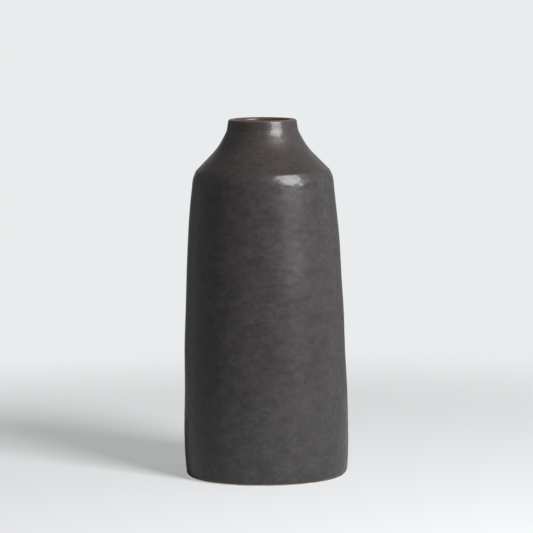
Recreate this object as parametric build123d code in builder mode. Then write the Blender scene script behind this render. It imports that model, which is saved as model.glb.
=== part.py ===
from build123d import *
from math import radians, tan
import os

# Stoneware bottle vase, wheel-thrown in two sections that are luted together at the shoulder,
# then glazed dark outside and with a liner glaze inside.
# Frame: +Z up, origin on the rest plane at the centre of the foot, millimetres.
# Every section is drawn in the XZ plane as radius against height, and is turned about Z.

# Outer form of the lower section, foot to shoulder corner
belly_radius = 87.05  # widest point
belly_height = 31.2
body_height = 325.6  # foot to the shoulder corner, where wall and shoulder cone meet
tuck_height = 5.7  # where the wall starts to turn under
tuck_inset = 1.05  # radius lost from the belly to the tuck
foot_inset = 5.4  # radius lost from the belly to the edge that rests
waist_height = 186.0
waist_inset = 3.15
eave_drop = 7.6  # below the shoulder corner, where the wall starts to turn in
eave_inset = 12.15
eave_softness = 30.0  # radius of that gentle turn
shoulder_inset = 15.75
shoulder_softness = 8.0  # radius of the shoulder corner

# Shoulder cone, neck and lip, drawn as straight runs whose corners are rounded
throat_radius = 30.3  # clear bore of the mouth, glaze included
lip_thickness = 5.7
lip_rounding = 2.9
cone_slope = 45.5  # degrees from level
cove_rise = 17.5  # cove corner up to the bend corner
collar_rise = 12.25  # bend corner up to the top of the lip
cove_flare = 11.08  # radius of the cove corner beyond the lip
bend_flare = 1.85  # radius of the bend corner beyond the lip
cove_reach = 10.5  # length of each run that the rounding of the cove corner takes up
bend_reach = 3.2
throat_blend = 12.0  # rounding under the throat, inside

# Walls, floor and turned foot
wall_thickness = 6.5
floor_thickness = 8.0
floor_blend = 14.0  # rounding between floor and wall, inside
recess_depth = 3.0
foot_ring_width = 8.0
recess_slope = 35.0  # flank of the recess, degrees from vertical

# Joint between the two thrown sections, a rebate filled with slip
joint_drop = 15.0  # below the shoulder corner
rebate_height = 5.0
slip_thickness = 0.5

# Glaze coats
glaze_thickness = 0.5
glaze_line_height = 1.1  # bare clay below this, so the foot does not stick to the kiln shelf
glaze_overlap_depth = 4.0  # the outer glaze runs this far down inside the mouth

# Worked out
axis_overlap = 20.0  # sections run past the axis, so that coats meet it squarely
lip_radius = throat_radius + lip_thickness
shoulder_radius = belly_radius - shoulder_inset
cove_base_radius = lip_radius + cove_flare
cove_height = body_height + (shoulder_radius - cove_base_radius) * tan(radians(cone_slope))
bend_height = cove_height + cove_rise
overall_height = bend_height + collar_rise
foot_radius = belly_radius - foot_inset
recess_radius = foot_radius - foot_ring_width
floor_top = recess_depth + floor_thickness
lip_fillet = min(lip_rounding, 0.49 * lip_thickness)
joint_height = body_height - joint_drop
beyond = 2 * belly_radius  # clear of the whole section

eave_corner = Vector(belly_radius - eave_inset, body_height - eave_drop)
shoulder_corner = Vector(shoulder_radius, body_height)
cove_corner = Vector(cove_base_radius, cove_height)
bend_corner = Vector(lip_radius + bend_flare, bend_height)
lip_corner = Vector(lip_radius, overall_height)
cone_run = cove_corner - shoulder_corner
cone_apex = shoulder_corner - cone_run * (shoulder_corner.X / cone_run.X)


def corner_radius(reach, before, corner, after):
    """Radius that rounds a corner and takes up the given length of the run on each side."""
    turn = (corner - before).get_angle(after - corner)
    return reach / tan(radians(turn / 2))


def nearest(vertices, place):
    """The vertex of a section that lies nearest to a place, given as radius and height."""
    return vertices.sort_by(lambda vertex: (Vector(vertex) - place).length)[0]


# Wall and shoulder cone, as one filled section, with the cone run up to its apex
with BuildSketch(Plane.XZ) as bulb_section:
    with BuildLine():
        belly = (belly_radius, belly_height)
        tuck = (belly_radius - tuck_inset, tuck_height)
        waist = (belly_radius - waist_inset, waist_height)
        lower_wall = TangentArc(belly, tuck, tangent=(0, -1))
        heel = TangentArc(tuck, (foot_radius, 0), tangent=lower_wall % 1)
        middle_wall = TangentArc(belly, waist, tangent=(0, 1))
        upper_wall = TangentArc(waist, eave_corner, tangent=middle_wall % 1)
        Polyline(eave_corner, shoulder_corner, cone_apex)
        Polyline(cone_apex, (-axis_overlap, cone_apex.Y), (-axis_overlap, 0), heel @ 1)
    make_face()
    fillet(nearest(vertices(), eave_corner), eave_softness)
    fillet(nearest(vertices(), shoulder_corner), shoulder_softness)

# Outer form: the bulb up to the cove corner, and the neck above it
with BuildSketch(Plane.XZ) as form_section:
    add(bulb_section.sketch_local)
    with Locations((0, cove_height)):
        Rectangle(2 * beyond, beyond, align=(Align.CENTER, Align.MIN), mode=Mode.SUBTRACT)
    with BuildLine():
        Polyline(
            cove_corner,
            bend_corner,
            lip_corner,
            (-axis_overlap, overall_height),
            (-axis_overlap, cove_height),
            close=True,
        )
    make_face()
    cove_radius = corner_radius(cove_reach, shoulder_corner, cove_corner, bend_corner)
    bend_radius = corner_radius(bend_reach, cove_corner, bend_corner, lip_corner)
    fillet(nearest(vertices(), cove_corner), cove_radius)
    fillet(nearest(vertices(), bend_corner), bend_radius)
    fillet(nearest(vertices(), lip_corner), lip_fillet)

# Hollow inside: one wall in from the bulb, a flat floor, and the straight throat
with BuildSketch(Plane.XZ) as cavity_section:
    add(bulb_section.sketch_local)
    offset(amount=-wall_thickness)
    with Locations((0, floor_top)):
        Rectangle(2 * beyond, beyond, align=(Align.CENTER, Align.MAX), mode=Mode.SUBTRACT)
    with Locations((0, overall_height)):
        Rectangle(2 * beyond, beyond, align=(Align.CENTER, Align.MIN), mode=Mode.SUBTRACT)
    fillet(nearest(vertices(), Vector(belly_radius, floor_top)), floor_blend)
    with Locations((-axis_overlap, body_height)):
        Rectangle(axis_overlap + throat_radius, beyond, align=(Align.MIN, Align.MIN))
    throat_ends = vertices().filter_by_position(Axis.X, throat_radius - 0.01, throat_radius + 0.01)
    fillet(throat_ends.sort_by(Axis.Y)[0], throat_blend)

# Everything inside the middle of the wall: it parts the liner from the outer glaze,
# and gives the rebate of the joint its upright face
with BuildSketch(Plane.XZ) as core_section:
    add(cavity_section.sketch_local)
    offset(amount=wall_thickness / 2)

# The open space inside and above the vase, with the inner side of the lip rounded
with BuildSketch(Plane.XZ) as open_section:
    add(cavity_section.sketch_local)
    with Locations((0, overall_height)):
        Rectangle(2 * beyond, beyond, align=(Align.CENTER, Align.MIN))
    fillet(nearest(vertices(), Vector(throat_radius, overall_height)), lip_fillet)

# The finished vase: outer form, less the open space and the recess of the turned foot
with BuildSketch(Plane.XZ) as finished_section:
    add(form_section.sketch_local)
    add(open_section.sketch_local, mode=Mode.SUBTRACT)
    with BuildLine():
        Polyline(
            (-axis_overlap, 0),
            (recess_radius, 0),
            (recess_radius - recess_depth * tan(radians(recess_slope)), recess_depth),
            (-axis_overlap, recess_depth),
            close=True,
        )
    make_face(mode=Mode.SUBTRACT)

# One glaze coat deep, inside and outside
with BuildSketch(Plane.XZ) as under_coat_section:
    offset(form_section.sketch_local, amount=-glaze_thickness)
    offset(open_section.sketch_local, amount=glaze_thickness, mode=Mode.SUBTRACT)
with BuildSketch(Plane.XZ) as coat_section:
    add(finished_section.sketch_local)
    add(under_coat_section.sketch_local, mode=Mode.SUBTRACT)

# Reach of the liner glaze: the inside, up to where the outer glaze comes over the lip
with BuildSketch(Plane.XZ) as liner_reach:
    add(core_section.sketch_local)
    with Locations((0, overall_height - glaze_overlap_depth)):
        Rectangle(2 * beyond, beyond, align=(Align.CENTER, Align.MIN), mode=Mode.SUBTRACT)

# Clay that stays bare: the foot ring and the recess under the floor
with BuildSketch(Plane.XZ) as bare_reach:
    with Locations((0, glaze_line_height)):
        Rectangle(2 * beyond, beyond, align=(Align.CENTER, Align.MAX))
    with Locations((0, recess_depth + floor_thickness / 2)):
        Rectangle(2 * foot_radius, beyond, align=(Align.CENTER, Align.MAX))

# Upper side of the joint: all above the joint line, less the tongue of the lower section
with BuildSketch(Plane.XZ) as tongue_reach:
    add(core_section.sketch_local)
    with Locations((0, joint_height + rebate_height)):
        Rectangle(2 * beyond, beyond, align=(Align.CENTER, Align.MIN), mode=Mode.SUBTRACT)
with BuildSketch(Plane.XZ) as upper_reach:
    with Locations((0, joint_height)):
        Rectangle(2 * beyond, beyond, align=(Align.CENTER, Align.MIN))
    add(tongue_reach.sketch_local, mode=Mode.SUBTRACT)
with BuildSketch(Plane.XZ) as upper_and_slip_reach:
    offset(upper_reach.sketch_local, amount=slip_thickness, kind=Kind.INTERSECTION)

# The half of a section that is turned about the axis
with BuildSketch(Plane.XZ) as turned_half:
    Rectangle(beyond, 2 * overall_height, align=(Align.MIN, Align.CENTER))

# Dark glaze on the outside, from the glaze line over the lip and a little way into the mouth
with BuildPart() as outer_glaze:
    with BuildSketch(Plane.XZ) as outer_glaze_section:
        add(coat_section.sketch_local)
        add(liner_reach.sketch_local, mode=Mode.SUBTRACT)
        add(bare_reach.sketch_local, mode=Mode.SUBTRACT)
        add(turned_half.sketch_local, mode=Mode.INTERSECT)
    revolve(axis=Axis.Z)

# Liner glaze on the inside, which makes the vase hold water
with BuildPart() as liner_glaze:
    with BuildSketch(Plane.XZ) as liner_glaze_section:
        add(coat_section.sketch_local)
        add(liner_reach.sketch_local, mode=Mode.INTERSECT)
        add(turned_half.sketch_local, mode=Mode.INTERSECT)
    revolve(axis=Axis.Z)

# Fired clay under both glazes
with BuildSketch(Plane.XZ) as clay_section:
    add(finished_section.sketch_local)
    add(outer_glaze_section.sketch_local, mode=Mode.SUBTRACT)
    add(liner_glaze_section.sketch_local, mode=Mode.SUBTRACT)
    add(turned_half.sketch_local, mode=Mode.INTERSECT)

# Lower thrown section: foot, floor and wall, ending in the tongue of the joint
with BuildPart() as body_section:
    with BuildSketch(Plane.XZ):
        add(clay_section.sketch_local)
        add(upper_and_slip_reach.sketch_local, mode=Mode.SUBTRACT)
    revolve(axis=Axis.Z)

# Upper thrown section: shoulder, neck and lip, rebated to sit over the tongue
with BuildPart() as shoulder_section:
    with BuildSketch(Plane.XZ):
        add(clay_section.sketch_local)
        add(upper_reach.sketch_local, mode=Mode.INTERSECT)
    revolve(axis=Axis.Z)

# Ring of clay slip that joins the two sections
with BuildPart() as luting_slip:
    with BuildSketch(Plane.XZ):
        add(clay_section.sketch_local)
        add(upper_and_slip_reach.sketch_local, mode=Mode.INTERSECT)
        add(upper_reach.sketch_local, mode=Mode.SUBTRACT)
    revolve(axis=Axis.Z)

outer_glaze.part.label = "outer_glaze"
liner_glaze.part.label = "liner_glaze"
body_section.part.label = "body_section"
shoulder_section.part.label = "shoulder_section"
luting_slip.part.label = "luting_slip"

os.makedirs("parts", exist_ok=True)
export_step(outer_glaze.part, "parts/outer_glaze.step")
export_step(liner_glaze.part, "parts/liner_glaze.step")
export_step(body_section.part, "parts/body_section.step")
export_step(shoulder_section.part, "parts/shoulder_section.step")
export_step(luting_slip.part, "parts/luting_slip.step")
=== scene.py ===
import math

import bmesh
import bpy
import numpy as np
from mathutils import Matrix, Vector


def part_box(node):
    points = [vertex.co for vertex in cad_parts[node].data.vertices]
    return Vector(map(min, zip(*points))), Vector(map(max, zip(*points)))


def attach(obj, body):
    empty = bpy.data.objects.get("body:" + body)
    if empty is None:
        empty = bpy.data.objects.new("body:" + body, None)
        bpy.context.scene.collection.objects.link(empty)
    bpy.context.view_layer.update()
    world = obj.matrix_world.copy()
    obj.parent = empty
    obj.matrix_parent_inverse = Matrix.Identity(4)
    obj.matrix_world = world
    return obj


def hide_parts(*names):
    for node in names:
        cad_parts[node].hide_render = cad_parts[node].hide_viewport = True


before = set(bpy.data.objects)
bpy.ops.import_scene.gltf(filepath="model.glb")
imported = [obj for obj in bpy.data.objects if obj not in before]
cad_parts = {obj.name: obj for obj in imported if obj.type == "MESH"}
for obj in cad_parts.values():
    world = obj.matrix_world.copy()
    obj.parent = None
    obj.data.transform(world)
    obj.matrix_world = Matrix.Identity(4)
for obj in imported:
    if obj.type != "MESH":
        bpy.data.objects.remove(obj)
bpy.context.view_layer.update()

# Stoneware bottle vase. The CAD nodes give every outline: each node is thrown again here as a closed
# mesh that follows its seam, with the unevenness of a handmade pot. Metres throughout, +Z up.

MM = 0.001
FULL_TURN = 2 * math.pi


# ---------------------------------------------------------------- outlines, read from the CAD seams

SAME_PLACE_DIGITS = 6  # decimals of a metre that tell two seam points apart
SEAM_HALF_WIDTH = 0.001 * MM
CORNER_TURN = math.radians(20)  # a sharper turn of the outline is a real corner


def seam_points(node):
    """Outline of a turned CAD node, as an ordered array of (radius, height).

    A node that crosses the axis starts and ends there. The outline of any other closes on itself.
    """
    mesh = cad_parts[node].data
    place = {}
    for vertex in mesh.vertices:
        x, y, z = vertex.co
        if abs(y) < SEAM_HALF_WIDTH and x > -SEAM_HALF_WIDTH:
            place[vertex.index] = (round(max(x, 0.0), SAME_PLACE_DIGITS), round(z, SAME_PLACE_DIGITS))
    neighbours = {point: set() for point in place.values()}
    for edge in mesh.edges:
        first, second = (place.get(index) for index in edge.vertices)
        if first is not None and second is not None and first != second:
            neighbours[first].add(second)
            neighbours[second].add(first)
    rims = [point for point, joined in neighbours.items() if len(joined) == 1]
    for rim in rims:  # a flat disc over the axis has no vertex at its centre
        centre = (0.0, rim[1])
        neighbours[rim].add(centre)
        neighbours[centre] = {rim}
    on_axis = sorted(point for point in neighbours if point[0] == 0)
    here = on_axis[0] if on_axis else min(neighbours)
    left = set(neighbours) - {here}
    outline = [here]
    while left:
        joined = neighbours[here] & left
        here = min(joined or left, key=lambda point: math.dist(point, here))
        left.remove(here)
        outline.append(here)
    return np.array(outline)


def closes(outline):
    """True for the outline of a ring, which keeps clear of the axis."""
    return outline[0][0] > 0


def heading_turn(before, after):
    """Signed turn from one heading to another, between minus and plus half a turn."""
    return (after - before + math.pi) % FULL_TURN - math.pi


def hermite(t, start, pull_out, end, pull_in):
    """Point at t, from 0 to 1, of the curve that leaves start and reaches end with the given pulls."""
    return (
        (2 * t**3 - 3 * t**2 + 1) * start
        + (t**3 - 2 * t**2 + t) * pull_out
        + (3 * t**2 - 2 * t**3) * end
        + (t**3 - t**2) * pull_in
    )


def smooth_outline(points, closed, spacing):
    """Rounds the CAD's faceted outline back to the tangent arcs that it was cut from.

    spacing(radius, height) is the longest step wanted there. Real corners stay sharp.
    """
    count = len(points)
    chords = count if closed else count - 1
    steps = [points[(i + 1) % count] - points[i] for i in range(chords)]
    lengths = [math.hypot(*step) for step in steps]
    headings = [math.atan2(step[1], step[0]) for step in steps]

    def turn(i):
        """Turn of the outline at point i, or None at a corner or an end."""
        if not closed and i % count in (0, count - 1):
            return None
        amount = heading_turn(headings[(i - 1) % chords], headings[i % chords])
        return amount if abs(amount) < CORNER_TURN else None

    def tangent(i, chord):
        """Heading of the true curve at point i, seen from one of the chords that end there."""
        here = turn(i)
        behind, ahead = (i - 1) % chords, i % chords
        if here is None:
            far = turn(i + 1) if chord == ahead and i % count == chord else turn(i - 1)
            bend = 0.0 if far is None else far / 2
            return headings[chord] - bend if i % count == chord else headings[chord] + bend
        if lengths[behind] < lengths[ahead]:
            far = turn(i - 1)
            return headings[behind] + (here if far is None else far) / 2
        far = turn(i + 1)
        return headings[ahead] - (here if far is None else far) / 2

    outline = []
    for i in range(chords):
        start, end = points[i], points[(i + 1) % count]
        leave, arrive = tangent(i, i), tangent(i + 1, i)
        pull_out = lengths[i] * np.array([math.cos(leave), math.sin(leave)])
        pull_in = lengths[i] * np.array([math.cos(arrive), math.sin(arrive)])
        middle = (start + end) / 2
        pieces = max(1, math.ceil(lengths[i] / spacing(*middle)))
        for t in np.arange(pieces) / pieces:
            outline.append(hermite(t, start, pull_out, end, pull_in))
    if not closed:
        outline.append(points[-1])
    return np.array(outline)


# ---------------------------------------------------------------- the form, and the potter's hand in it

THROAT_DEPTH = 20 * MM

outer_seam = seam_points("outer_glaze")
liner_seam = seam_points("liner_glaze")
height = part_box("outer_glaze")[1].z
belly_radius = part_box("outer_glaze")[1].x
glaze_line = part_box("outer_glaze")[0].z
floor_height = max(liner_seam[0][1], liner_seam[-1][1])  # glazed floor of the inside
shoulder_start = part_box("shoulder_section")[0].z  # the joint, just under the shoulder ridge
throat_start = height - THROAT_DEPTH

WALL_LEVELS = 761
LEAST_LEAN = -0.3
GREATEST_LEAN = math.radians(60)


def wall_sides():
    """Heights, and the radii of the wall's inner and outer sides at each of them."""
    levels = np.linspace(0, height, WALL_LEVELS)
    inner = np.full(WALL_LEVELS, np.inf)
    outer = np.zeros(WALL_LEVELS)
    for points in (outer_seam, liner_seam):
        for (r0, z0), (r1, z1) in zip(points, np.roll(points, -1, axis=0)):
            if z0 == z1:
                continue
            crossed = (levels - z0) * (levels - z1) <= 0
            radii = r0 + (r1 - r0) * (levels[crossed] - z0) / (z1 - z0)
            inner[crossed] = np.minimum(inner[crossed], radii)
            outer[crossed] = np.maximum(outer[crossed], radii)
    inner[levels <= floor_height] = 0
    outer[levels < glaze_line] = outer[levels > glaze_line][0]
    return levels, inner, outer


levels, inner_radii, outer_radii = wall_sides()
slopes = np.arctan2(-np.gradient(outer_radii), np.gradient(levels))
leans = np.clip(slopes, LEAST_LEAN, GREATEST_LEAN)


def fade(value, start, end):
    """0 before start, 1 after end, smooth between."""
    t = np.clip((value - start) / (end - start), 0, 1)
    return t * t * (3 - 2 * t)


def band(z, low, high, softness):
    """1 between two heights, with soft edges."""
    return fade(z, low - softness, low + softness) * (1 - fade(z, high - softness, high + softness))


# Hollows that the potter's hand left: their depth, a seed, and their size across and up, in millimetres
HOLLOWS = {
    "broad": (0.20, 3, 150, 90),
    "wiped": (0.016, 5, 16, 9),
    "patted": (0.028, 8, 13, 11),
    "dimpled": (0.010, 13, 6.5, 5.5),
    "nicked": (0.045, 41, 11, 8),
    "inside": (0.10, 21, 60, 14),
}
WAVES = 48
WAVE_SIZES = (0.7, 1.4)  # least and greatest, as shares of the size wanted


def hollows(kind, theta, z):
    """Smooth random relief of one kind of hollow, that meets itself round the vase."""
    depth, seed, across, up = HOLLOWS[kind]
    rng = np.random.default_rng(seed)
    relief = np.zeros(np.broadcast(theta, z).shape)
    for _ in range(WAVES):
        angle, phase = rng.uniform(0, FULL_TURN, 2)
        size = rng.uniform(*WAVE_SIZES)
        turns = round(math.cos(angle) * size * FULL_TURN * belly_radius / (across * MM))
        relief += np.cos(turns * theta + math.sin(angle) * size * FULL_TURN / (up * MM) * z + phase)
    return depth * MM * (relief * math.sqrt(2 / WAVES))


# Small pits in the glaze: azimuth from the front in degrees, then height, radius and depth in millimetres
PITS = (
    (-58, 304, 2.2, 0.30),
    (-66, 296, 1.8, 0.25),
    (-49, 309, 1.5, 0.20),
    (8, 286, 1.3, 0.16),
    (36, 255, 1.5, 0.16),
    (24, 262, 1.2, 0.14),
    (-31, 150, 1.4, 0.14),
    (110, 240, 1.6, 0.20),
    (155, 180, 1.4, 0.16),
    (-150, 275, 1.8, 0.22),
    (-120, 90, 1.5, 0.16),
)


# Zones of the outer wall. These two are heights above the table.
WIPED_FROM = 150 * MM
WIPED_FULL = 230 * MM
# The others are heights above the joint.
WALL_TOP = 10 * MM
RIDGE_FROM = 2 * MM
RIDGE_TO = 14 * MM
NECK_FROM = 4 * MM
NECK_FULL = 20 * MM
PINCH_FROM = -10 * MM
PINCH_TO = 4 * MM

PINCH_DEPTH = 0.10 * MM  # the seam of the joint, smoothed in by thumb
RING_DEPTH = 0.012 * MM  # throwing rings of the neck
RING_PITCH = 6.5 * MM
RING_WANDER = 0.7
PATTED_UNDER_WIPED = 0.55  # what is left of a relief where another goes over it
BROAD_ON_NECK = 0.4
DIMPLED_ON_NECK = 0.5


def left_of(relief, share, zone):
    """A relief that is down to the given share of itself where the zone is full."""
    return relief * (1 - (1 - share) * zone)


def pits(theta, z):
    """Depth of the small pits in the glaze."""
    depth_there = 0
    for azimuth, pit_height, radius, depth in PITS:
        away = heading_turn(math.radians(azimuth - 90), theta)
        distance = np.hypot(away * belly_radius, z - pit_height * MM) / (radius * MM)
        depth_there = depth_there + depth * MM * np.exp(-(distance**2))
    return depth_there


def relief_outside(theta, z):
    """How far the potter's hand left the outer wall proud of the turned form."""
    wall = band(z, glaze_line, shoulder_start + WALL_TOP, 6 * MM)
    ridge = band(z, shoulder_start + RIDGE_FROM, shoulder_start + RIDGE_TO, 3 * MM)
    seam = band(z, shoulder_start + PINCH_FROM, shoulder_start + PINCH_TO, 5 * MM)
    upper = fade(z, WIPED_FROM, WIPED_FULL)
    neck = fade(z, shoulder_start + NECK_FROM, shoulder_start + NECK_FULL)
    rings = RING_DEPTH * np.sin(FULL_TURN * z / RING_PITCH + RING_WANDER * np.sin(theta))
    patted = left_of(hollows("patted", theta, z), PATTED_UNDER_WIPED, upper)
    relief = left_of(hollows("broad", theta, z), BROAD_ON_NECK, neck)
    relief = relief + (hollows("wiped", theta, z) * upper + patted) * wall
    relief = relief + left_of(hollows("dimpled", theta, z), DIMPLED_ON_NECK, neck)
    relief = relief + rings * neck + hollows("nicked", theta, z) * ridge
    return relief - PINCH_DEPTH * seam - pits(theta, z)


SPIRAL_DEPTH = 0.28 * MM
SPIRAL_PITCH = 11 * MM


def relief_inside(theta, z):
    """Throwing rings left by the fingers inside, a shallow spiral that stops below the throat."""
    wall = band(z, floor_height + 10 * MM, throat_start - 4 * MM, 6 * MM)
    spiral = SPIRAL_DEPTH * np.sin(FULL_TURN * z / SPIRAL_PITCH + theta)
    return (spiral + hollows("inside", theta, z)) * wall


BOW = 0.6 * MM
OVAL = 0.0012  # share of the radius
OVAL_PHASE = 0.8
LIP_WAVE = 0.18 * MM
LIP_PHASE = 2.1
LIP_DEPTH = 12 * MM
FLOOR_RING_DEPTH = 0.25 * MM
FLOOR_RING_PITCH = 12 * MM


def bow(z):
    """Sideways drift of the axis, as a tall thrown pot dries a little out of true."""
    return BOW * (1 - 2 * fade(z, 40 * MM, 245 * MM))


def floor_rings(radius, z, theta):
    """Shallow rings of the thrown floor, which stay clear of its middle and of the wall."""
    on_floor = band(z, floor_height - 2 * MM, floor_height + 2 * MM, MM)
    on_floor = on_floor * fade(radius, 2 * MM, 8 * MM) * (1 - fade(radius, 50 * MM, 62 * MM))
    return FLOOR_RING_DEPTH * np.sin(FULL_TURN * radius / FLOOR_RING_PITCH + theta) * on_floor


def thrown(radius, z, theta):
    """Places on the handmade pot, given places on the turned form."""
    outer = np.interp(z, levels, outer_radii)
    inner = np.interp(z, levels, inner_radii)
    lean = np.interp(z, levels, leans)
    depth = np.clip((radius - inner) / np.maximum(outer - inner, MM), 0, 1)
    steady = fade(z, 0.5 * MM, 7 * MM)  # the foot stays flat and round
    relief = relief_outside(theta, z) * depth + relief_inside(theta, z) * (1 - depth) * (radius > 0)
    relief = relief * steady
    reach = (radius + relief * np.cos(lean)) * (1 + OVAL * np.cos(2 * theta + OVAL_PHASE) * steady)
    rise = relief * np.sin(lean) + floor_rings(radius, z, theta)
    rise = rise + LIP_WAVE * np.cos(2 * theta + LIP_PHASE) * fade(z, height - LIP_DEPTH, height)
    return np.stack([reach * np.cos(theta) + bow(z) * steady, reach * np.sin(theta), z + rise], axis=-1)


# ---------------------------------------------------------------- meshes


SHARP_EDGE = math.radians(40)


def turned_surface(outline, closed, segments):
    """Vertices and faces of an outline turned about the axis, with a fan of triangles at each end on it."""
    rings = outline if closed else outline[1:-1]
    theta = np.arange(segments) * FULL_TURN / segments
    places = thrown(rings[:, 0:1], rings[:, 1:2], theta[None, :]).reshape(-1, 3)
    index = np.arange(len(rings) * segments).reshape(len(rings), segments)
    here = index if closed else index[:-1]
    ahead = np.roll(index, -1, axis=0) if closed else index[1:]
    quads = np.stack([here, np.roll(here, -1, 1), np.roll(ahead, -1, 1), ahead], axis=-1).reshape(-1, 4)
    faces = quads.tolist()
    if not closed:
        for ring, pole in ((index[0], outline[0]), (index[-1], outline[-1])):
            centre = len(places)
            places = np.vstack([places, thrown(*pole, 0.0)])
            faces += [(int(a), int(b), centre) for a, b in zip(ring, np.roll(ring, -1))]
    return places.tolist(), faces


def face_outwards(mesh):
    """Turns every face of a closed mesh to look outwards."""
    surface = bmesh.new()
    surface.from_mesh(mesh)
    bmesh.ops.recalc_face_normals(surface, faces=surface.faces)
    surface.to_mesh(mesh)
    surface.free()


def thrown_mesh(name, node, segments, spacing):
    """Closed mesh of one CAD node, turned from its seam outline and given the potter's unevenness."""
    points = seam_points(node)
    closed = closes(points)
    places, faces = turned_surface(smooth_outline(points, closed, spacing), closed, segments)
    mesh = bpy.data.meshes.new(name)
    mesh.from_pydata(places, [], faces)
    face_outwards(mesh)
    mesh.shade_smooth()
    mesh.set_sharp_from_angle(angle=SHARP_EDGE)
    piece = bpy.data.objects.new(name, mesh)
    bpy.context.scene.collection.objects.link(piece)
    return piece


HALF_COAT = 0.25 * MM
FINEST = 1.6 * MM
FINE = 2.0 * MM
COARSE = 12 * MM  # for faces that lie against another piece


def glaze_spacing(radius, z):
    """Ring spacing of the outer glaze: finest on its outer face."""
    outer_face = radius > np.interp(z, levels, outer_radii) - HALF_COAT
    return FINEST if outer_face else COARSE


def liner_spacing(radius, z):
    """Ring spacing of the liner: fine on its inner face and on the floor."""
    inner_face = radius < np.interp(z, levels, inner_radii) + HALF_COAT
    return FINE if inner_face or z <= floor_height else COARSE


def clay_spacing(_, z):
    """Ring spacing of the clay, by height alone: fine on the bare foot."""
    return FINE if z < floor_height / 2 else COARSE


# ---------------------------------------------------------------- materials


def material_tree(name):
    """A new material, its node tree and its Principled shader."""
    material = bpy.data.materials.new(name)
    material.use_nodes = True
    return material, material.node_tree, material.node_tree.nodes["Principled BSDF"]


def add_node(tree, kind, inputs, **settings):
    """Adds a node. Each input is given by name or place, as a value or as the socket that feeds it."""
    node = tree.nodes.new(kind)
    for key, value in settings.items():
        setattr(node, key, value)
    for key, value in inputs.items():
        if isinstance(value, bpy.types.NodeSocket):
            tree.links.new(value, node.inputs[key])
        else:
            node.inputs[key].default_value = value
    return node


def object_place(tree, stretch=(1, 1, 1)):
    """Place on the object in metres, optionally stretched so that a pattern is drawn out along an axis."""
    place = tree.nodes.new("ShaderNodeTexCoord").outputs["Object"]
    return add_node(tree, "ShaderNodeMapping", {"Vector": place, "Scale": stretch}).outputs[0]


def cloud(tree, place, size, detail=3.0, roughness=0.55):
    """Soft noise, 0 to 1, with features of about the given size in metres."""
    inputs = {"Vector": place, "Scale": 1 / size, "Detail": detail, "Roughness": roughness}
    return add_node(tree, "ShaderNodeTexNoise", inputs).outputs[0]


def spots(tree, place, size, reach):
    """1 at scattered points about size apart, falling to 0 at reach of the way to the next."""
    cells = add_node(tree, "ShaderNodeTexVoronoi", {"Vector": place, "Scale": 1 / size}).outputs["Distance"]
    return ranged(tree, cells, reach, 0.0)


def ranged(tree, value, low, high, out_low=0.0, out_high=1.0):
    """Smooth step of a value from one range to another."""
    inputs = {"Value": value, "From Min": low, "From Max": high, "To Min": out_low, "To Max": out_high}
    return add_node(tree, "ShaderNodeMapRange", inputs, interpolation_type="SMOOTHSTEP").outputs[0]


def combine(tree, operation, first, second):
    """One sum of two values or sockets."""
    return add_node(tree, "ShaderNodeMath", {0: first, 1: second}, operation=operation).outputs[0]


def tinted(tree, amount, base, tint):
    """Base colour, gone over to a tint by the given amount."""
    inputs = {0: amount, 6: colour(base), 7: colour(tint)}
    return add_node(tree, "ShaderNodeMix", inputs, data_type="RGBA").outputs[2]


def colour(value):
    """A colour as a shader takes it: a socket as it is, or red, green and blue made opaque."""
    return value if isinstance(value, bpy.types.NodeSocket) else (*value, 1.0)


def bumped(tree, amounts):
    """Normal from several reliefs, each given as its height socket and its depth in metres."""
    normal = None
    for relief, depth in amounts:
        inputs = {"Height": relief, "Distance": depth, "Strength": 1.0}
        if normal is not None:
            inputs["Normal"] = normal
        normal = add_node(tree, "ShaderNodeBump", inputs).outputs[0]
    return normal


def height_socket(tree):
    """Height above the table in metres."""
    place = tree.nodes.new("ShaderNodeTexCoord").outputs["Object"]
    return add_node(tree, "ShaderNodeSeparateXYZ", {0: place}).outputs[2]


CHARCOAL_DEEP = (0.0335, 0.0314, 0.0307)
CHARCOAL_PALE = (0.0515, 0.0484, 0.0476)
WARM_THIN = (0.049, 0.0390, 0.0365)
DARK_DABS = (0.018, 0.016, 0.016)
DARK_SPECKS = (0.008, 0.007, 0.007)
LIP_BROWN = (0.095, 0.062, 0.046)
FOOT_BROWN = (0.09, 0.062, 0.042)


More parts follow.
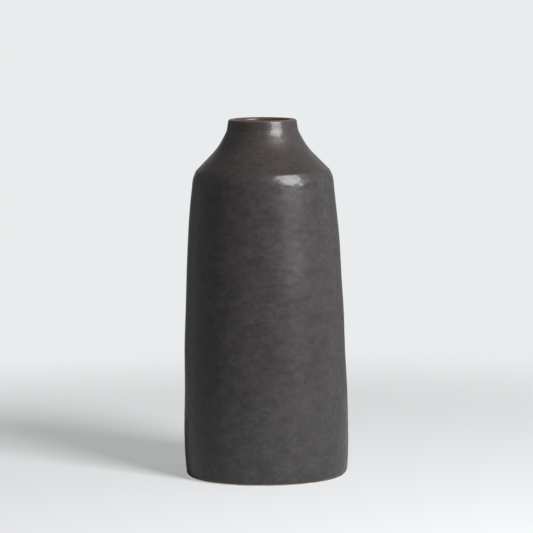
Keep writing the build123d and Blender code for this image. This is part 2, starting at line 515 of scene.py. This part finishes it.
def glaze_colour(tree, place, drawn_out):
    """Mottled charcoal, warm on the shoulder, with dark dabs and specks, and brown at both edges."""
    z = height_socket(tree)
    mottling = cloud(tree, drawn_out, 16 * MM, detail=5, roughness=0.7)
    base = tinted(tree, ranged(tree, mottling, 0.3, 0.7), CHARCOAL_DEEP, CHARCOAL_PALE)
    on_shoulder = ranged(tree, z, shoulder_start + 6 * MM, shoulder_start + 18 * MM)
    patchy = ranged(tree, cloud(tree, place, 24 * MM, detail=5, roughness=0.65), 0.35, 0.65, 0.25, 1.0)
    base = tinted(tree, combine(tree, "MULTIPLY", on_shoulder, patchy), base, WARM_THIN)
    dabs = ranged(tree, cloud(tree, drawn_out, 4.5 * MM, detail=3, roughness=0.6), 0.35, 0.7, 0.0, 0.42)
    base = tinted(tree, dabs, base, DARK_DABS)
    speckle = spots(tree, place, 5 * MM, 0.10)
    base = tinted(tree, combine(tree, "MULTIPLY", speckle, 0.6), base, DARK_SPECKS)
    ragged = combine(tree, "MULTIPLY", combine(tree, "SUBTRACT", cloud(tree, place, 6 * MM), 0.5), 1.6 * MM)
    wavy_z = combine(tree, "ADD", z, ragged)
    lip_break = ranged(tree, wavy_z, height - 2.0 * MM, height - 0.4 * MM)
    foot_break = ranged(tree, wavy_z, glaze_line + 1.2 * MM, glaze_line)
    base = tinted(tree, lip_break, base, LIP_BROWN)
    return tinted(tree, foot_break, base, FOOT_BROWN)


def dark_glaze():
    """Satin charcoal glaze with a glassier skin, finely uneven all over."""
    material, tree, shader = material_tree("dark_glaze")
    place = object_place(tree)
    drawn_out = object_place(tree, stretch=(1, 1, 1.4))
    tree.links.new(glaze_colour(tree, place, drawn_out), shader.inputs["Base Color"])
    gloss = ranged(tree, cloud(tree, drawn_out, 9 * MM, detail=3), 0.3, 0.7, 0.30, 0.40)
    tree.links.new(gloss, shader.inputs["Roughness"])
    shader.inputs["IOR"].default_value = 1.5
    shader.inputs["Specular IOR Level"].default_value = 0.42
    shader.inputs["Coat Weight"].default_value = 0.35
    shader.inputs["Coat Roughness"].default_value = 0.10
    shader.inputs["Coat IOR"].default_value = 1.5
    swells = cloud(tree, drawn_out, 5 * MM, detail=2)
    grain = cloud(tree, place, 1.6 * MM, detail=2)
    skin = bumped(tree, [(swells, 0.05 * MM), (grain, 0.015 * MM)])
    tree.links.new(skin, shader.inputs["Normal"])
    tree.links.new(skin, shader.inputs["Coat Normal"])
    return material


LINER_THIN = (0.11, 0.058, 0.030)
LINER_POOLED = (0.035, 0.018, 0.010)
LINER_THROAT = (0.20, 0.135, 0.085)
LINER_SPECKS = (0.015, 0.009, 0.006)


def brown_liner():
    """Glossy brown glaze inside, darker in pools and paler towards the throat."""
    material, tree, shader = material_tree("brown_liner")
    place = object_place(tree)
    drawn_out = object_place(tree, stretch=(1, 1, 3))
    pooled = ranged(tree, cloud(tree, drawn_out, 18 * MM, detail=4), 0.35, 0.65)
    base = tinted(tree, pooled, LINER_THIN, LINER_POOLED)
    at_throat = ranged(tree, height_socket(tree), throat_start - 12 * MM, throat_start + 6 * MM)
    base = tinted(tree, at_throat, base, LINER_THROAT)
    base = tinted(tree, spots(tree, place, 6 * MM, 0.12), base, LINER_SPECKS)
    tree.links.new(base, shader.inputs["Base Color"])
    gloss = ranged(tree, cloud(tree, place, 12 * MM), 0.3, 0.7, 0.10, 0.20)
    tree.links.new(gloss, shader.inputs["Roughness"])
    shader.inputs["IOR"].default_value = 1.55
    tree.links.new(bumped(tree, [(cloud(tree, place, 6 * MM), 0.06 * MM)]), shader.inputs["Normal"])
    return material


GROG = (0.14, 0.095, 0.060)
TRIMMING_PITCH = 1.8 * MM


def buff_clay(name, dark, light):
    """Unglazed stoneware: buff, with grog specks and the fine rings of the trimming tool."""
    material, tree, shader = material_tree(name)
    place = object_place(tree)
    base = tinted(tree, ranged(tree, cloud(tree, place, 14 * MM, detail=5), 0.3, 0.7), dark, light)
    grog = spots(tree, place, 2.2 * MM, 0.22)
    base = tinted(tree, combine(tree, "MULTIPLY", grog, 0.55), base, GROG)
    tree.links.new(base, shader.inputs["Base Color"])
    shader.inputs["Roughness"].default_value = 0.85
    shader.inputs["Specular IOR Level"].default_value = 0.25
    sides = add_node(tree, "ShaderNodeSeparateXYZ", {0: place}).outputs
    across = add_node(tree, "ShaderNodeCombineXYZ", {0: sides[0], 1: sides[1]}).outputs[0]
    radius = add_node(tree, "ShaderNodeVectorMath", {0: across}, operation="LENGTH").outputs["Value"]
    turns = combine(tree, "MULTIPLY", radius, FULL_TURN / TRIMMING_PITCH)
    trimming = add_node(tree, "ShaderNodeMath", {0: turns}, operation="SINE").outputs[0]
    grain = cloud(tree, place, 0.9 * MM, detail=4)
    relief = [(trimming, 0.04 * MM), (grain, 0.12 * MM)]
    tree.links.new(bumped(tree, relief), shader.inputs["Normal"])
    return material


# ---------------------------------------------------------------- the vase


def place_piece(name, node, material, segments, spacing):
    """Throws one node again, gives it its material and lets it stand for the CAD node."""
    piece = thrown_mesh(name, node, segments, spacing)
    piece.data.materials.append(material)
    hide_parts(node)
    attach(piece, "root")
    return piece


OUTSIDE = 280  # segments round a piece that shows from outside
WITHIN = 240

clay = buff_clay("stoneware_clay", (0.46, 0.38, 0.28), (0.62, 0.53, 0.41))
slip = buff_clay("clay_slip", (0.30, 0.24, 0.17), (0.42, 0.34, 0.25))
vase = [
    place_piece("vase_outer_glaze", "outer_glaze", dark_glaze(), OUTSIDE, glaze_spacing),
    place_piece("vase_liner_glaze", "liner_glaze", brown_liner(), WITHIN, liner_spacing),
    place_piece("vase_body_section", "body_section", clay, OUTSIDE, clay_spacing),
    place_piece("vase_shoulder_section", "shoulder_section", clay, WITHIN, clay_spacing),
    place_piece("vase_luting_slip", "luting_slip", slip, WITHIN, clay_spacing),
]


# ---------------------------------------------------------------- studio

BACKDROP = (0.815, 0.832, 0.840)
ROOM_LIGHT = (1, 0.985, 0.98)
FLOOR_COLOUR = (0.430, 0.438, 0.444)
FLOOR_GLOW_COLOUR = (0.97, 0.99, 1)
FLOOR_GLOW = 0.37  # light of the paper itself, seen by the camera only, that lifts the shadow
FLOOR_CLEAR = 0.45  # the floor is all there within this radius, and has faded out by the next
FLOOR_GONE = 1.1
FLOOR_SEGMENTS = 96


def floor_paper():
    """Matt paper that fades out with distance and can't be seen from below."""
    material, tree, shader = material_tree("floor_paper")
    shader.inputs["Base Color"].default_value = colour(FLOOR_COLOUR)
    shader.inputs["Roughness"].default_value = 0.8
    shader.inputs["Specular IOR Level"].default_value = 0.0
    place = tree.nodes.new("ShaderNodeTexCoord").outputs["Object"]
    away = add_node(tree, "ShaderNodeVectorMath", {0: place}, operation="LENGTH").outputs["Value"]
    above = combine(tree, "SUBTRACT", 1.0, tree.nodes.new("ShaderNodeNewGeometry").outputs["Backfacing"])
    near = ranged(tree, away, FLOOR_GONE, FLOOR_CLEAR)
    tree.links.new(combine(tree, "MULTIPLY", near, above), shader.inputs["Alpha"])
    seen = tree.nodes.new("ShaderNodeLightPath").outputs["Is Camera Ray"]
    shader.inputs["Emission Color"].default_value = colour(FLOOR_GLOW_COLOUR)
    tree.links.new(combine(tree, "MULTIPLY", seen, FLOOR_GLOW), shader.inputs["Emission Strength"])
    return material


def pale_floor():
    """Plain pale floor that fades into the backdrop well away from the vase."""
    mesh = bpy.data.meshes.new("floor")
    disc = bmesh.new()
    bmesh.ops.create_circle(disc, cap_ends=True, segments=FLOOR_SEGMENTS, radius=FLOOR_GONE)
    disc.to_mesh(mesh)
    disc.free()
    floor = bpy.data.objects.new("floor", mesh)
    bpy.context.scene.collection.objects.link(floor)
    mesh.materials.append(floor_paper())


# Pale things around the vase that its glaze reflects: direction, cosines where each starts and is full,
# and radiance
REFLECTED = (
    ((0.04, 0.93, 0.36), 0.80, 0.97, 0.22),
    ((0.82, 0.57, 0.0), 0.55, 0.95, 0.20),
    ((0.99, -0.05, 0.1), 0.55, 0.95, 0.25),
    ((-0.75, 0.66, 0.0), 0.50, 0.95, 0.08),
    ((-0.95, 0.32, 0.0), 0.80, 0.97, 0.14),
)


def studio_world():
    """A plain backdrop for the camera, and a soft ceiling with dim walls for the light."""
    world = bpy.data.worlds.new("studio")
    world.use_nodes = True
    bpy.context.scene.world = world
    tree = world.node_tree
    tree.nodes.clear()
    direction = tree.nodes.new("ShaderNodeTexCoord").outputs["Generated"]
    up = add_node(tree, "ShaderNodeSeparateXYZ", {0: direction})
    strength = ranged(tree, up.outputs[2], 0.1, 0.9, 0.04, 0.08)
    for towards, start, full, radiance in REFLECTED:
        dot = add_node(tree, "ShaderNodeVectorMath", {0: direction, 1: towards}, operation="DOT_PRODUCT")
        pale = ranged(tree, dot.outputs["Value"], start, full, 0.0, radiance)
        strength = combine(tree, "ADD", strength, pale)
    lighting = {"Color": colour(ROOM_LIGHT), "Strength": strength}
    light = add_node(tree, "ShaderNodeBackground", lighting).outputs[0]
    backdrop = {"Color": colour(BACKDROP), "Strength": 1.0}
    plain = add_node(tree, "ShaderNodeBackground", backdrop).outputs[0]
    seen = tree.nodes.new("ShaderNodeLightPath").outputs["Is Camera Ray"]
    mixed = add_node(tree, "ShaderNodeMixShader", {0: seen, 1: light, 2: plain}).outputs[0]
    output = tree.nodes.new("ShaderNodeOutputWorld")
    tree.links.new(mixed, output.inputs["Surface"])


LAMP_DISTANCE = 2.6
AIM_HEIGHT = 0.3


def softbox(name, azimuth, elevation, spread, radiance):
    """Rectangular soft light aimed at the upper vase.

    Azimuth is from the front towards +X. Spread is its half width and half height as seen from the vase.
    All angles are in degrees.
    """
    width, tall = (2 * LAMP_DISTANCE * math.tan(math.radians(half)) for half in spread)
    light = bpy.data.lights.new(name, "AREA")
    light.shape = "RECTANGLE"
    light.size = width
    light.size_y = tall
    light.energy = radiance * math.pi * width * tall
    lamp = bpy.data.objects.new(name, light)
    bpy.context.scene.collection.objects.link(lamp)
    turn, lift = math.radians(azimuth), math.radians(elevation)
    away = Vector((math.sin(turn) * math.cos(lift), -math.cos(turn) * math.cos(lift), math.sin(lift)))
    lamp.location = Vector((0, 0, AIM_HEIGHT)) + away * LAMP_DISTANCE
    lamp.rotation_euler = away.to_track_quat("Z", "Y").to_euler()
    lamp.visible_camera = False
    return lamp


FILM_WIDTH = 36  # millimetres, as is the lens
LONG_LENS = 232.8
CAMERA_PLACE = (0.0023, -3.6488, 0.5908)
TILT_DOWN = math.radians(5.759)
ROLL = math.radians(-0.55)
SIGHT_END = 100


def studio_camera():
    """Long lens, a little above the vase and tilted down, with the slight roll of a hand-levelled camera."""
    camera = bpy.data.cameras.new("camera")
    camera.sensor_width = FILM_WIDTH
    camera.lens = LONG_LENS
    camera.clip_end = SIGHT_END
    stand = bpy.data.objects.new("camera", camera)
    bpy.context.scene.collection.objects.link(stand)
    stand.location = CAMERA_PLACE
    stand.rotation_mode = "ZYX"
    stand.rotation_euler = (math.pi / 2 - TILT_DOWN, 0, ROLL)
    bpy.context.scene.camera = stand


pale_floor()
studio_world()
key = softbox("key_softbox", azimuth=38, elevation=27, spread=(10, 15), radiance=30.5)
key.visible_glossy = False
sheen = softbox("sheen_softbox", azimuth=48, elevation=28.5, spread=(15.5, 17.5), radiance=11.0)
sheen.visible_diffuse = False
rear = softbox("rear_softbox", azimuth=184, elevation=8, spread=(20, 20), radiance=7.0)
rear.visible_glossy = False
under = softbox("under_softbox", azimuth=0, elevation=-88, spread=(12, 12), radiance=10.0)
under.visible_glossy = False
vase_only = bpy.data.collections.new("vase_only")
for piece in vase:
    vase_only.objects.link(piece)
for fill in (rear, under):
    fill.light_linking.receiver_collection = vase_only
    fill.light_linking.blocker_collection = vase_only
studio_camera()
bpy.context.scene.view_settings.view_transform = "Standard"
